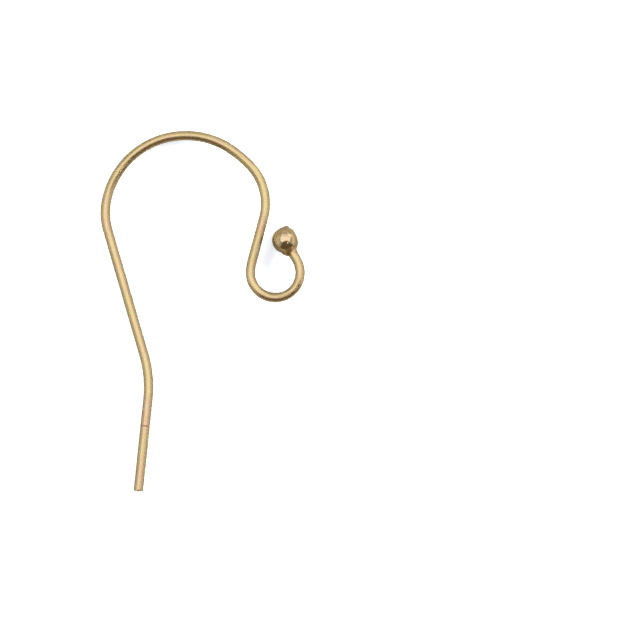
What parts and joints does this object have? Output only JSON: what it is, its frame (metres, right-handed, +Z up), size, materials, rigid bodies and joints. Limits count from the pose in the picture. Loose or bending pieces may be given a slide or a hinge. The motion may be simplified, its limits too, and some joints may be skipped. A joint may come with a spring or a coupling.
{
  "type": "ear wire",
  "caption": "Fish-hook ear wire of round gold-coloured wire, with a kinked post, a rounded arch and an open loop that ends in a soldered ball.",
  "frame": {"origin": "middle of the outline in plan, on the surface that the ear wire lies on", "axes": "+Y from the cut end of the post towards the crown of the arch, +X from the leg towards the loop and ball, +Z up from the surface"},
  "size_m": [0.0154, 0.0272, 0.002],
  "materials": {
    "gold_wire": "satin gold plating on drawn brass wire"
  },
  "bodies": {
    "root": {"ear_wire": "gold_wire"}
  },
  "joints": []
}
